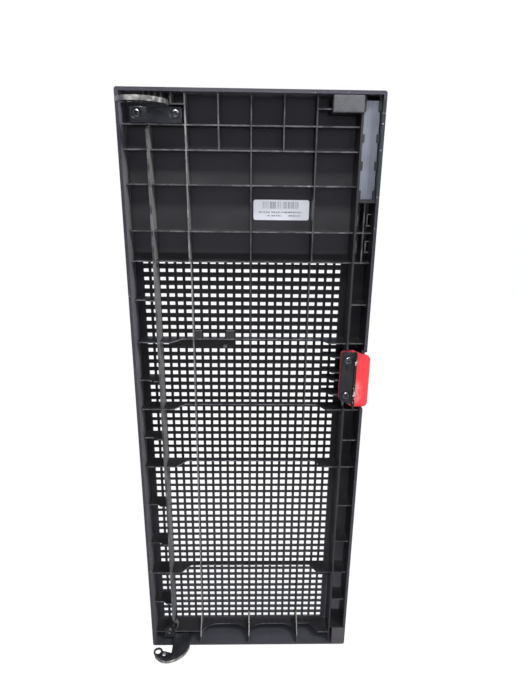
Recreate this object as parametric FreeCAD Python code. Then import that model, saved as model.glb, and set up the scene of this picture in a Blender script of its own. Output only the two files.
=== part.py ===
import FreeCAD, Part
import os

# Bezel door of a tower server: a ribbed plastic tray with a louvred grille, two hook-shaped hinge arms
# and a push latch on the free edge. Sizes are in millimetres.
# While it is drawn, X runs from the hinge edge to the free edge as seen from behind, Z from the bottom edge
# up, and the ribbed rear side faces -Y. A name that ends in _h is a height behind the inner face of the
# front wall. At the end everything is shifted so that the lower pivot is the origin.

V = FreeCAD.Vector

# Door tray
door_w = 168.0
door_tall = 442.0
front_t = 3.2
rim_h = 20.0
wall_t = 2.2
corner_r = 1.6
front_edge_r = 1.2
rim_chamfer = 0.4
fit_gap = 0.3
same_place = 1e-6

# Grille of slanted openings
pitch = 6.0
row_pitch = 6.03
bar_w = 2.05
slat_w = 2.4
first_bar_x = 6.0
first_bar_z = 10.9
upright_t = 0.8
louvre_drop = 2.05
grille_border = 2.4
panel_tall = 104.0

# Ribs of the tray
rib_t = 0.9
upright_rib_t = 1.4
panel_rib_h = 13.0
side_rib_h = 13.8
grille_rib_h = 4.0
cross_rib_h = 4.5
hinge_rib_h = 16.0
channel_wall_h = 18.0
channel_w = 14.0
hinge_ramp_start = 26.5
hinge_ramp_end = 34.0
free_ramp_start = 26.5
free_ramp_end = 32.3
cross_rib_zs = (276.7, 224.0, 174.7, 72.7)
hinge_side_rib_zs = (307.3, 246.5, 198.8, 138.4, 101.2, 39.7)
channel_rib_zs = (305.5, 198.3, 139.0, 104.3, 44.0)
side_step_h = 11.2
side_step_x = 10.0
side_step_run = 3.0
panel_rib_drops = (20.4, 35.4, 56.8, 86.7, 107.0)
hinge_rib_bar = 2
first_upright_bar = 6
last_upright_inset = 4
hinge_rib_foot_z = 20.4
foot_web_r = 6.4
foot_web_t = 1.0
foot_web_inset = 2.6
foot_web_z = 15.2
foot_web_tall = 3.0

# Rib along the bottom, scooped out between the uprights
bottom_rib_z = 9.5
bottom_rib_h = 14.0
bottom_rib_end_h = 15.6
bottom_ramp_inset = 30.8
bottom_ramp_run = 7.3
scoop_r = 13.4
foot_h = 19.5
foot_ramp_z = 24.0

# Bare patch of the grille below a cross rib, with small webs above that rib
patch_x = 24.0
patch_len = 47.6
patch_tall = 7.4
patch_h = 2.5
patch_stud_r = 1.5
patch_stud_h = 3.3
patch_stud_drop = 5.9
patch_stud_inset = 6.4
web_bars = (6, 10)
web_tall = 5.0

# Hinge arms
pivot_x = 7.0
pivot_h = 33.0
bore_r = 2.4
eye_r = 3.8
arm_t = 2.8
arm_web_t = 1.2
arm_flange_w = 1.2
lower_arm_inset = 5.4
upper_arm_inset = 7.6
arm_root_x = 18.5
arm_root_w = 14.5
arm_reach_h = 42.0
corner_rib_count = 4
pin_hole_r = 1.5
pin_hole_rise = 2.9
plate_t = 2.0
upper_plate_x = 8.0
upper_plate_w = 32.4
upper_plate_tall = 9.2
ear_r = 4.2
screw_seat_w = 7.6
screw_seat_t = 1.0

# Outline of a hinge hook, measured from its root, its farthest reach and its pivot
hook_shoulder_drop = 14.5
hook_bow_x = 4.1
hook_bow_drop = 6.4
hook_crown_x = 2.5
hook_crown_drop = 1.0
hook_tip_x = 5.5
hook_eye_x = 2.6
hook_neck = 1.6

# Screws and their bosses
screw_r = 1.4
thread_gap = 0.05
screw_len = 9.0
hinge_head_r = 2.8
hinge_head_t = 1.6
head_rim_t = 0.6
head_slope = 1.2
boss_r = 3.5
upper_screw_xs = (12.0, 36.2)
upper_screw_drop = 14.3
lower_screw_x = 14.6
lower_screw_z = 12.4
lower_boss_h = 6.0

# Push latch
latch_z = 249.8
latch_tall = 44.2
latch_seat_h = 13.0
slider_t = 2.4
slider_back = 4.2
tab_reach = 3.8
tab_corner_r = 3.5
tab_slope_offset = 4.8
tab_slope_drop = 4.6
slider_corner_r = 2.5
slider_foot_run = 10.4
slider_foot_rise = 7.0
latch_travel = 3.2
latch_boss_r = 2.5
latch_screw_offset = 0.8
latch_screw_spread = 27.3
latch_screw_rise = 1.7
retainer_t = 2.0
retainer_back = 3.7
retainer_w = 10.9
retainer_drop = 0.8
retainer_foot = 0.3
retainer_foot_rise = 6.3
retainer_foot_step = 2.8
retainer_corner_r = 2.4
lip_w = 1.6
lip_rise = 2.6
latch_head_r = 3.0
latch_head_t = 2.0
support_rib_offsets = (15.9, 4.0, -2.1, -13.7)
support_rib_back = 15.0
support_rib_run = 6.0

# Return spring of the latch, a bowed steel strip that pushes on a lug under the slider
lug_offset = 5.6
lug_t = 1.6
lug_w = 10.0
lug_h = 4.0
spring_h = 5.5
spring_w = 5.0
spring_t = 0.5
spring_span = 19.4
spring_gap = 0.1

# Strip in the channel at the top of the free edge
strip_seat_h = 12.0
strip_t = 2.0
strip_room = 65.0
strip_head_room = 2.8
strip_foot_t = 1.8
tab_drops = ((2.2, 11.4), (24.7, 29.7), (41.0, 46.5), (59.0, 65.0))
tab_hold = 1.6
tab_t = 1.7
pocket_offset = 3.2
pocket_tall = 8.4
pocket_h = 8.0
pocket_drops = (78.4, 96.5)

# Foam pads and label
upper_pad_back = 19.2
upper_pad_w = 19.5
upper_pad_tall = 10.6
pad_stub_rise = 2.3
lower_pad_w = 11.2
lower_pad_tall = 17.2
lower_pad_margin = 0.8
lower_pad_lift = 2.6
pad_t = 2.5
label_drop = 79.6
label_margin = 1.25
label_tall = 13.6
label_t = 0.2
label_r = 1.5

# Places that follow from the sizes above
channel_x = door_w - channel_w
columns = int((channel_x - first_bar_x) / pitch)
rows = int((door_tall - panel_tall - first_bar_z) / row_pitch)
grille_x0 = first_bar_x - grille_border
grille_x1 = first_bar_x + columns * pitch + grille_border
grille_z0 = first_bar_z - grille_border
grille_top = first_bar_z + rows * row_pitch
grille_z1 = grille_top + grille_border
bar_xs = [first_bar_x + i * pitch for i in range(columns + 1)]
hinge_rib_x = bar_xs[hinge_rib_bar]
last_upright_bar = columns - last_upright_inset
middle_upright_bar = (first_upright_bar + last_upright_bar) // 2
upright_xs = [bar_xs[i] for i in (first_upright_bar, middle_upright_bar, last_upright_bar)]
short_upright_xs = [(left + right) / 2 for left, right in zip(upright_xs, upright_xs[1:])]
channel_mid_x = (channel_x + upright_rib_t / 2 + door_w - wall_t) / 2
wall_mid = wall_t / 2
panel_rib_zs = [door_tall - drop for drop in panel_rib_drops]
panel_foot_z = panel_rib_zs[-1]
lower_arm_z = lower_arm_inset
upper_arm_z = door_tall - upper_arm_inset - arm_t
lower_eye_z = lower_arm_z + arm_t - arm_web_t
upper_screw_z = door_tall - upper_screw_drop
slider_h = latch_seat_h + fit_gap
retainer_h = slider_h + slider_t + fit_gap
slider_x = channel_x - slider_back
retainer_x = channel_x - retainer_back
lug_x = channel_x + lug_offset
latch_screw_x = channel_x + latch_screw_offset
support_rib_x = channel_x - support_rib_back
latch_z0 = latch_z - latch_tall / 2
latch_z1 = latch_z + latch_tall / 2
spring_z = latch_z + latch_screw_rise
latch_screw_zs = (spring_z - latch_screw_spread / 2, spring_z + latch_screw_spread / 2)
strip_foot_z = door_tall - strip_room
pocket_zs = [door_tall - drop for drop in pocket_drops]
upper_pad_x = channel_x - upper_pad_back
label_x = upright_xs[1] + rib_t / 2 + label_margin
label_x1 = upright_xs[2] - rib_t / 2 - label_margin
label_z = door_tall - label_drop


def block(x0, x1, h0, h1, z0, z1):
    """A box given by its limits across, behind the front wall and up."""
    return Part.makeBox(x1 - x0, h1 - h0, z1 - z0, V(x0, -h1, z0))


def cross_rib(profile, z, thickness):
    """A rib that lies across the door: an outline in x and h, centred on the level z."""
    points = [V(x, -h, z - thickness / 2) for x, h in profile]
    return Part.Face(Part.makePolygon(points + points[:1])).extrude(V(0, 0, thickness))


def upright_rib(profile, x, thickness):
    """A rib that stands up the door: an outline in z and h, centred on the line x."""
    points = [V(x - thickness / 2, -h, z) for z, h in profile]
    return Part.Face(Part.makePolygon(points + points[:1])).extrude(V(thickness, 0, 0))


def peg(x, z, radius, h0, h1):
    """A round boss or hole whose axis runs through the door."""
    return Part.makeCylinder(radius, h1 - h0, V(x, -h0, z), V(0, -1, 0))


def rounded_plate(corners, h0, h1):
    """A plate given by its corners, each with its place across and up and its own radius."""
    points = [V(x, -h0, z) for x, z, radius in corners]
    plate = Part.Face(Part.makePolygon(points + points[:1])).extrude(V(0, h0 - h1, 0))
    for x, z, radius in corners:
        if radius > 0:
            edges = [e for e in plate.Edges if on_corner(e, x, z)]
            plate = plate.makeFillet(radius, edges)
    return plate


def rectangle(x0, x1, z0, z1, radius):
    """The corners of an upright rectangle, all with the same radius."""
    return [(x0, z0, radius), (x1, z0, radius), (x1, z1, radius), (x0, z1, radius)]


def on_corner(edge, x, z):
    """True for a straight edge that runs through the door at this corner."""
    return all(abs(v.X - x) < same_place and abs(v.Z - z) < same_place for v in edge.Vertexes)


def edges_at(shape, y):
    """The edges of a shape that lie in the plane of this y."""
    return [e for e in shape.Edges if all(abs(v.Y - y) < same_place for v in e.Vertexes)]


def tray_shell():
    """Front wall and rim, with rounded outer corners, a round front edge and a chamfered rear one."""
    shell = rounded_plate(rectangle(0, door_w, 0, door_tall, corner_r), -front_t, rim_h)
    shell = shell.makeFillet(front_edge_r, edges_at(shell, front_t))
    shell = shell.makeChamfer(rim_chamfer, edges_at(shell, -rim_h))
    inside = block(wall_t, door_w - wall_t, 0, rim_h, wall_t, door_tall - wall_t)
    window = block(grille_x0, grille_x1, -front_t, 0, grille_z0, grille_z1)
    return shell.cut(inside).cut(window)


def panel_ribs():
    """Egg-crate ribs of the plain upper part."""
    ribs = []
    for z in panel_rib_zs:
        lowered = z > strip_foot_z
        channel_rib_h = strip_seat_h if lowered else panel_rib_h
        profile = [
            (wall_mid, 0),
            (wall_mid, panel_rib_h),
            (channel_x, panel_rib_h),
            (channel_x, channel_rib_h),
            (door_w - wall_mid, channel_rib_h),
            (door_w - wall_mid, 0),
        ]
        ribs.append(cross_rib(profile, z, rib_t))
    half = rib_t / 2
    top = door_tall - wall_mid
    for x in upright_xs:
        ribs.append(block(x - half, x + half, 0, panel_rib_h, panel_foot_z, top))
    for x in short_upright_xs:
        ribs.append(block(x - half, x + half, 0, panel_rib_h, panel_rib_zs[1], top))
    return ribs


def grille_ribs():
    """Ribs that cross the grille: low in the middle, tall at both edges."""
    ribs = []
    for z in cross_rib_zs:
        profile = [
            (wall_mid, 0),
            (wall_mid, side_rib_h),
            (hinge_ramp_start, side_rib_h),
            (hinge_ramp_end, cross_rib_h),
            (door_w - free_ramp_end, cross_rib_h),
            (door_w - free_ramp_start, side_rib_h),
            (door_w - wall_mid, side_rib_h),
            (door_w - wall_mid, 0),
        ]
        ribs.append(cross_rib(profile, z, rib_t))
    for x in upright_xs:
        profile = [
            (wall_mid, 0),
            (wall_mid, foot_h),
            (bottom_rib_z, foot_h),
            (foot_ramp_z, grille_rib_h),
            (grille_top, grille_rib_h),
            (grille_top, 0),
        ]
        ribs.append(upright_rib(profile, x, rib_t))
    return ribs


def edge_ribs():
    """The tall rib near the hinge edge, the channel wall near the free edge, and the webs outside them."""
    top_rib_z = panel_rib_zs[0]
    foot = hinge_rib_foot_z
    profile = [
        (foot, 0),
        (foot, panel_rib_h),
        (foot + hinge_rib_h - panel_rib_h, hinge_rib_h),
        (top_rib_z - hinge_rib_h + panel_rib_h, hinge_rib_h),
        (top_rib_z, panel_rib_h),
        (top_rib_z, 0),
    ]
    ribs = [upright_rib(profile, hinge_rib_x, upright_rib_t)]
    profile = [
        (wall_mid, 0),
        (wall_mid, channel_wall_h),
        (latch_z0 - fit_gap, channel_wall_h),
        (latch_z0 - fit_gap, latch_seat_h),
        (latch_z1 + fit_gap, latch_seat_h),
        (latch_z1 + fit_gap, channel_wall_h),
        (door_tall - wall_mid, channel_wall_h),
        (door_tall - wall_mid, 0),
    ]
    ribs.append(upright_rib(profile, channel_x, upright_rib_t))
    profile = [
        (wall_mid, 0),
        (wall_mid, side_step_h),
        (side_step_x, side_step_h),
        (side_step_x + side_step_run, side_rib_h),
        (hinge_rib_x, side_rib_h),
        (hinge_rib_x, 0),
    ]
    ribs += [cross_rib(profile, z, rib_t) for z in hinge_side_rib_zs]
    for z in channel_rib_zs:
        ribs.append(block(channel_x, door_w - wall_mid, 0, side_rib_h, z - rib_t / 2, z + rib_t / 2))
    return ribs


def foot_web():
    """The curled web that runs from the foot of the tall rib down to the bottom rib."""
    x = hinge_rib_x - foot_web_inset
    z = foot_web_z
    h0 = panel_rib_h - foot_web_tall
    ring = peg(x, z, foot_web_r, h0, panel_rib_h).cut(peg(x, z, foot_web_r - foot_web_t, h0, panel_rib_h))
    return ring.common(block(hinge_rib_x, x + foot_web_r, h0, panel_rib_h, bottom_rib_z, z + foot_web_r))


def bottom_rib():
    """The rib along the bottom, with a round-cornered scoop in each bay between the uprights."""
    z0 = bottom_rib_z - rib_t / 2
    first = upright_xs[0]
    points = [(wall_mid, 0), (wall_mid, bottom_rib_h), (first, bottom_rib_h), (first, foot_h)]
    edges = [Part.makePolygon([V(x, -h, z0) for x, h in points])]
    for left, right in zip(upright_xs[:-1], upright_xs[1:]):
        start = (left, foot_h)
        end = (right, foot_h)
        low_left = (left + scoop_r, foot_h - scoop_r)
        low_right = (right - scoop_r, foot_h - scoop_r)
        bend = scoop_r * (1 - 0.5 ** 0.5)
        edges.append(arc(start, (left + bend, foot_h - scoop_r + bend), low_left, z0))
        edges.append(line(low_left, low_right, z0))
        edges.append(arc(low_right, (right - bend, foot_h - scoop_r + bend), end, z0))
    ramp_x = door_w - bottom_ramp_inset
    last = upright_xs[-1]
    scoop_h = foot_h - scoop_r
    points = [
        (last, foot_h),
        (last, scoop_h),
        (ramp_x, scoop_h),
        (ramp_x + bottom_ramp_run, bottom_rib_end_h),
        (door_w - wall_mid, bottom_rib_end_h),
        (door_w - wall_mid, 0),
        (wall_mid, 0),
    ]
    edges.append(Part.makePolygon([V(x, -h, z0) for x, h in points]))
    pieces = [e for part in edges for e in part.Edges]
    outline = Part.Wire(Part.__sortEdges__(pieces))
    return Part.Face(outline).extrude(V(0, 0, rib_t))


def line(a, b, z):
    return Part.makeLine(V(a[0], -a[1], z), V(b[0], -b[1], z))


def arc(a, middle, b, z):
    return Part.Arc(V(a[0], -a[1], z), V(middle[0], -middle[1], z), V(b[0], -b[1], z)).toShape()


def bare_patch():
    """The closed patch of the grille under the highest cross rib, its stud, and the webs above that rib."""
    rib_z = cross_rib_zs[0]
    parts = [block(patch_x, patch_x + patch_len, 0, patch_h, rib_z - patch_tall - rib_t / 2, rib_z)]
    stud_x = patch_x + patch_len - patch_stud_inset
    parts.append(peg(stud_x, rib_z - patch_stud_drop, patch_stud_r, 0, patch_stud_h))
    head = rib_z + rib_t / 2 + web_tall
    for bar in web_bars:
        middle = bar_xs[bar] + pitch / 2
        parts.append(upright_rib([(rib_z, 0), (rib_z, cross_rib_h), (head, 0)], middle, pitch))
    return parts


def channel_details():
    """Foot wall and tabs that hold the strip, and the short rib in the channel below it."""
    inner = channel_x + upright_rib_t / 2
    outer = door_w - wall_t
    middle = channel_mid_x
    parts = [
        block(channel_x, door_w - wall_mid, 0, channel_wall_h, strip_foot_z - strip_foot_t, strip_foot_z),
        block(middle - rib_t / 2, middle + rib_t / 2, 0, panel_rib_h, panel_foot_z, strip_foot_z),
    ]
    root = wall_mid / 2
    tab_h = strip_seat_h + strip_t + fit_gap
    for top_drop, foot_drop in tab_drops:
        z0 = door_tall - foot_drop
        z1 = door_tall - top_drop
        parts.append(block(inner - root, inner + tab_hold, tab_h, tab_h + tab_t, z0, z1))
        parts.append(block(outer - tab_hold, outer + root, tab_h, tab_h + tab_t, z0, z1))
    return parts


def channel_pockets():
    """Open boxes on both sides of the short rib in the channel."""
    half = rib_t / 2
    parts = []
    for back, wall in ((-pocket_offset, channel_x), (pocket_offset, door_w - wall_mid)):
        x = channel_mid_x + back
        x0 = min(x - half, wall)
        x1 = max(x + half, wall)
        for z in pocket_zs:
            z0 = z - pocket_tall / 2
            z1 = z + pocket_tall / 2
            parts.append(block(x - half, x + half, 0, pocket_h, z0, z1))
            parts.append(block(x0, x1, 0, pocket_h, z0, z0 + rib_t))
            parts.append(block(x0, x1, 0, pocket_h, z1 - rib_t, z1))
    return parts


def hinge_corner_ribs():
    """Short ribs round the root of the upper hinge arm."""
    top = door_tall - wall_mid
    box_x = arm_root_x + arm_root_w + fit_gap
    box_z = upper_arm_z + arm_t / 2
    parts = [
        block(box_x, box_x + rib_t, 0, channel_wall_h, box_z - rib_t / 2, top),
        block(box_x, upright_xs[0], 0, channel_wall_h, box_z - rib_t / 2, box_z + rib_t / 2),
    ]
    step = arm_root_w / corner_rib_count
    for i in range(corner_rib_count):
        x = arm_root_x + (i - 0.5) * step
        parts.append(block(x, x + rib_t, 0, channel_wall_h, upper_arm_z + arm_t + fit_gap, top))
    return parts


def pad_seats():
    """Ribs under the two foam pads."""
    pad_z0 = door_tall - wall_t - upper_pad_tall
    stub_z = pad_z0 + pad_stub_rise
    top = door_tall - wall_mid
    last_upright = upright_xs[-1]
    parts = [
        block(last_upright, upper_pad_x + rib_t, 0, panel_rib_h, stub_z, stub_z + rib_t),
        block(upper_pad_x, channel_x, 0, channel_wall_h, pad_z0, pad_z0 + rib_t),
    ]
    for x in (upper_pad_x, upper_pad_x + upper_pad_w / 2):
        parts.append(block(x, x + rib_t, 0, channel_wall_h, pad_z0, top))
    left = door_w - lower_pad_margin - lower_pad_w
    head = lower_pad_lift + lower_pad_tall
    parts.append(block(left, left + rib_t, 0, rim_h, wall_mid, head))
    parts.append(block(channel_x, door_w - wall_mid, 0, rim_h, head - rib_t, head))
    return parts


def screw_bosses():
    """Bosses for the hinge and latch screws."""
    parts = [peg(x, upper_screw_z, boss_r, 0, panel_rib_h) for x in upper_screw_xs]
    parts.append(peg(lower_screw_x, lower_screw_z, boss_r, lower_boss_h, bottom_rib_h))
    for z in latch_screw_zs:
        parts.append(peg(latch_screw_x, z, boss_r, 0, latch_seat_h))
        parts.append(peg(latch_screw_x, z, latch_boss_r, 0, retainer_h))
    return parts


def screw_holes():
    hole_r = screw_r + thread_gap
    holes = [peg(x, upper_screw_z, hole_r, panel_rib_h - screw_len, panel_rib_h) for x in upper_screw_xs]
    holes.append(peg(lower_screw_x, lower_screw_z, hole_r, lower_boss_h, bottom_rib_h))
    for z in latch_screw_zs:
        holes.append(peg(latch_screw_x, z, hole_r, retainer_h - screw_len, retainer_h))
    return holes


def latch_supports():
    """Sloped ribs beside the latch."""
    parts = []
    for offset in support_rib_offsets:
        profile = [
            (support_rib_x, 0),
            (support_rib_x, grille_rib_h),
            (support_rib_x + support_rib_run, latch_seat_h),
            (channel_x, latch_seat_h),
            (channel_x, 0),
        ]
        parts.append(cross_rib(profile, latch_z + offset, rib_t))
    return parts


def make_door_panel():
    added = panel_ribs() + grille_ribs() + edge_ribs() + [foot_web(), bottom_rib()] + bare_patch()
    added += channel_details() + channel_pockets() + hinge_corner_ribs() + pad_seats()
    added += screw_bosses() + latch_supports()
    door = tray_shell().multiFuse(added)
    cuts = screw_holes()
    cuts.append(block(door_w - wall_t, door_w, latch_seat_h, rim_h, latch_z0 - fit_gap, latch_z1 + fit_gap))
    return door.cut(cuts).removeSplitter()


def make_vent_grille():
    """Two layers that touch: upright bars behind, slanted louvres in front."""
    half_bar = bar_w / 2
    half_slat = slat_w / 2
    behind = block(grille_x0, grille_x1, -upright_t, 0, grille_z0, grille_z1)
    low = first_bar_z + half_slat
    high = grille_top - half_slat
    slots = [block(x + half_bar, x + pitch - half_bar, -upright_t, 0, low, high) for x in bar_xs[:-1]]
    behind = behind.cut(Part.makeCompound(slots))
    front = block(grille_x0, grille_x1, -front_t, -upright_t, grille_z0, grille_z1)
    start_drop = louvre_drop * upright_t / front_t
    openings = []
    for i in range(rows):
        low = first_bar_z + i * row_pitch + half_slat
        high = low + row_pitch - slat_w
        profile = [
            (low - start_drop, -upright_t),
            (high - start_drop, -upright_t),
            (high - louvre_drop, -front_t),
            (low - louvre_drop, -front_t),
        ]
        middle = (bar_xs[0] + bar_xs[-1]) / 2
        openings.append(upright_rib(profile, middle, columns * pitch - bar_w))
    front = front.cut(Part.makeCompound(openings))
    return Part.makeCompound([behind, front])


def hook(z0, web_z):
    """The hook of a hinge arm from z0 up: a web at web_z, a flange round it, and a thin pivot eye."""
    root_x1 = arm_root_x + arm_root_w
    reach = arm_reach_h
    inner = (arm_root_x, pivot_h + hook_neck)
    shoulder = (root_x1, reach - hook_shoulder_drop)
    bow = (root_x1 - hook_bow_x, reach - hook_bow_drop)
    crown = (arm_root_x + hook_crown_x, reach - hook_crown_drop)
    tip = (pivot_x + hook_tip_x, reach)
    eye_out = (pivot_x - hook_eye_x, pivot_h + (eye_r ** 2 - hook_eye_x ** 2) ** 0.5)
    eye_in = (pivot_x, pivot_h - hook_neck)
    root_h = panel_rib_h
    edges = [
        line((arm_root_x, root_h), (root_x1, root_h), z0),
        line((root_x1, root_h), shoulder, z0),
        arc(shoulder, bow, crown, z0),
        arc(crown, tip, eye_out, z0),
        line(eye_out, eye_in, z0),
        line(eye_in, inner, z0),
        line(inner, (arm_root_x, root_h), z0),
    ]
    outline = Part.Face(Part.Wire(edges))
    eye_room = Part.makeCylinder(eye_r, arm_t, V(pivot_x, -pivot_h, z0))
    flange = outline.cut(outline.makeOffset2D(-arm_flange_w)).extrude(V(0, 0, arm_t)).cut(eye_room)
    web = outline.extrude(V(0, 0, arm_web_t))
    web.translate(V(0, 0, web_z - z0))
    eye = Part.makeCylinder(eye_r, arm_web_t, V(pivot_x, -pivot_h, web_z))
    bore = Part.makeCylinder(bore_r, arm_web_t, V(pivot_x, -pivot_h, web_z))
    pin_x = (pivot_x + arm_root_x) / 2
    pin_hole = Part.makeCylinder(pin_hole_r, arm_web_t, V(pin_x, -pivot_h - pin_hole_rise, web_z))
    return web.multiFuse([eye, flange]).cut([bore, pin_hole])


def make_upper_hinge_arm():
    plate_h = panel_rib_h
    plate_z1 = upper_arm_z
    plate = block(
        upper_plate_x,
        upper_plate_x + upper_plate_w,
        plate_h,
        plate_h + plate_t,
        plate_z1 - upper_plate_tall,
        plate_z1,
    )
    seat_x = upper_screw_xs[0]
    seat_top = plate_h + plate_t + screw_seat_t
    seat_x0 = seat_x - screw_seat_w / 2
    seat_z0 = upper_screw_z - screw_seat_w / 2
    seat = block(seat_x0, seat_x0 + screw_seat_w, plate_h, seat_top, seat_z0, seat_z0 + screw_seat_w)
    root_x1 = arm_root_x + arm_root_w
    root = block(arm_root_x, root_x1, plate_h, plate_h + plate_t, plate_z1, upper_arm_z + arm_t)
    arm = hook(upper_arm_z, upper_arm_z).multiFuse([plate, seat, root])
    hole_r = screw_r + thread_gap
    cuts = [peg(x, upper_screw_z, hole_r, plate_h, plate_h + plate_t) for x in upper_screw_xs]
    cuts.append(peg(seat_x, upper_screw_z, hinge_head_r + fit_gap, plate_h + plate_t, seat_top))
    return arm.cut(cuts).removeSplitter()


def make_lower_hinge_arm():
    plate_h = bottom_rib_h
    plate_top = plate_h + plate_t
    plate_x0 = lower_screw_x - ear_r
    plate_x1 = arm_root_x + arm_root_w
    root = block(plate_x0, plate_x1, plate_h, plate_top, lower_arm_z, lower_arm_z + arm_t)
    ear = peg(lower_screw_x, lower_screw_z, ear_r, plate_h, plate_top)
    ear_root = block(plate_x0, lower_screw_x + ear_r, plate_h, plate_top, lower_arm_z, lower_screw_z)
    front_cut = block(0, plate_x1, 0, plate_h, lower_arm_z, lower_arm_z + arm_t)
    arm = hook(lower_arm_z, lower_eye_z).cut(front_cut).multiFuse([root, ear, ear_root])
    hole = peg(lower_screw_x, lower_screw_z, screw_r + thread_gap, plate_h, plate_top)
    return arm.cut(hole).removeSplitter()


def pan_screw(x, z, seat, length, head_r, head_t):
    """A screw with a low, sloped head that rests on the height named seat."""
    rim = peg(x, z, head_r, seat, seat + head_rim_t)
    crown_base = V(x, -seat - head_rim_t, z)
    crown = Part.makeCone(head_r, head_r - head_slope, head_t - head_rim_t, crown_base, V(0, -1, 0))
    return rim.multiFuse([crown, peg(x, z, screw_r, seat - length, seat)]).removeSplitter()


def make_hinge_screws():
    length = screw_len - fit_gap
    seat = panel_rib_h + plate_t
    upper = [pan_screw(x, upper_screw_z, seat, length, hinge_head_r, hinge_head_t) for x in upper_screw_xs]
    lower_seat = bottom_rib_h + plate_t
    lower = pan_screw(lower_screw_x, lower_screw_z, lower_seat, length, hinge_head_r, hinge_head_t)
    return Part.makeCompound(upper + [lower])


def make_latch_slider():
    """The red push plate: it slides on the ribs, with slots round the two screw bosses."""
    h1 = slider_h + slider_t
    tab_x = door_w + tab_reach
    corners = [
        (slider_x, latch_z0 + slider_foot_rise, slider_corner_r),
        (slider_x + slider_foot_run, latch_z0, 0),
        (tab_x, latch_z0, tab_corner_r),
        (tab_x, latch_z1 - tab_slope_drop, tab_corner_r),
        (channel_x + tab_slope_offset, latch_z1, 0),
        (slider_x, latch_z1, slider_corner_r),
    ]
    plate = rounded_plate(corners, slider_h, h1)
    lug_z0 = spring_z - lug_w / 2
    lug_root_h = slider_h + slider_t / 2
    lug = block(lug_x, lug_x + lug_t, lug_h, lug_root_h, lug_z0, lug_z0 + lug_w)
    slot_r = latch_boss_r + fit_gap
    slots = []
    for z in latch_screw_zs:
        start = latch_screw_x
        slots.append(peg(start, z, slot_r, slider_h, h1))
        slots.append(peg(start + latch_travel, z, slot_r, slider_h, h1))
        slots.append(block(start, start + latch_travel, slider_h, h1, z - slot_r, z + slot_r))
    return plate.fuse(lug).cut(slots).removeSplitter()


def make_latch_retainer():
    """The cover plate over the latch, with a lip along its outer side."""
    h1 = retainer_h + retainer_t
    z1 = latch_z1 - retainer_drop
    x1 = retainer_x + retainer_w
    foot_z = latch_z0 - retainer_foot
    corners = [
        (retainer_x, foot_z + retainer_foot_rise, retainer_corner_r),
        (x1 - lip_w, foot_z + retainer_foot_step, 0),
        (x1 - lip_w, z1, 0),
        (retainer_x, z1, retainer_corner_r),
    ]
    plate = rounded_plate(corners, retainer_h, h1)
    lip = block(x1 - lip_w, x1, retainer_h, h1 + lip_rise, foot_z, z1)
    holes = [peg(latch_screw_x, z, screw_r + thread_gap, retainer_h, h1) for z in latch_screw_zs]
    return plate.fuse(lip).cut(holes).removeSplitter()


def make_latch_screws():
    seat = retainer_h + retainer_t
    length = screw_len - fit_gap
    screws = [pan_screw(latch_screw_x, z, seat, length, latch_head_r, latch_head_t) for z in latch_screw_zs]
    return Part.makeCompound(screws)


def make_latch_spring():
    """A steel strip, bowed between the channel wall and the lug of the latch."""
    x0 = channel_x + upright_rib_t / 2 + spring_gap
    x1 = lug_x - spring_gap
    half = spring_span / 2
    radius = (half ** 2 + (x1 - x0) ** 2) / (2 * (x1 - x0))
    inner_half = ((radius - spring_t) ** 2 - (radius - x1 + x0) ** 2) ** 0.5
    outside = [V(x0, 0, spring_z - half), V(x1, 0, spring_z), V(x0, 0, spring_z + half)]
    crest = V(x1 - spring_t, 0, spring_z)
    inside = [V(x0, 0, spring_z + inner_half), crest, V(x0, 0, spring_z - inner_half)]
    edges = [
        Part.Arc(*outside).toShape(),
        Part.makeLine(outside[-1], inside[0]),
        Part.Arc(*inside).toShape(),
        Part.makeLine(inside[-1], outside[0]),
    ]
    strip = Part.Face(Part.Wire(edges)).extrude(V(0, -spring_w, 0))
    strip.translate(V(0, -spring_h, 0))
    return strip


def make_trim_strip():
    x0 = channel_x + upright_rib_t / 2 + fit_gap
    x1 = door_w - wall_t - fit_gap
    z0 = strip_foot_z + fit_gap
    z1 = door_tall - wall_t - strip_head_room
    return block(x0, x1, strip_seat_h, strip_seat_h + strip_t, z0, z1)


def make_upper_foam_pad():
    z1 = door_tall - wall_t - fit_gap
    z0 = door_tall - wall_t - upper_pad_tall
    h0 = channel_wall_h
    return block(upper_pad_x, upper_pad_x + upper_pad_w, h0, h0 + pad_t, z0, z1)


def make_lower_foam_pad():
    x1 = door_w - lower_pad_margin
    z0 = lower_pad_lift
    return block(x1 - lower_pad_w, x1, rim_h, rim_h + pad_t, z0, z0 + lower_pad_tall)


def make_label():
    corners = rectangle(label_x, label_x1, label_z, label_z + label_tall, label_r)
    return rounded_plate(corners, 0, label_t)


nodes = {
    "door_panel": make_door_panel,
    "vent_grille": make_vent_grille,
    "upper_hinge_arm": make_upper_hinge_arm,
    "lower_hinge_arm": make_lower_hinge_arm,
    "hinge_screws": make_hinge_screws,
    "latch_slider": make_latch_slider,
    "latch_retainer": make_latch_retainer,
    "latch_screws": make_latch_screws,
    "latch_spring": make_latch_spring,
    "trim_strip": make_trim_strip,
    "upper_foam_pad": make_upper_foam_pad,
    "lower_foam_pad": make_lower_foam_pad,
    "label": make_label,
}

os.makedirs("parts", exist_ok=True)
for name, make in nodes.items():
    shape = make()
    shape.translate(V(-pivot_x, pivot_h, -lower_eye_z))
    shape.exportStep("parts/" + name + ".step")
    print(name, len(shape.Solids), "solids", shape.isValid(), round(shape.Volume, 1), shape.BoundBox)
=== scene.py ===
# %% [markdown]
# # A server bezel door, seen from behind
# The object is the plastic door that closes the front of a tower server: a tray stiffened with ribs,
# a grille of small slanted openings, two hinge hooks on one long edge and a red push latch on the other.
# The exact solids come from a CAD frame. Blender adds what a moulding shop adds after the drawing:
# softened edges, surface grain, wear, printed and foam pieces, and the light that shows them.

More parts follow.
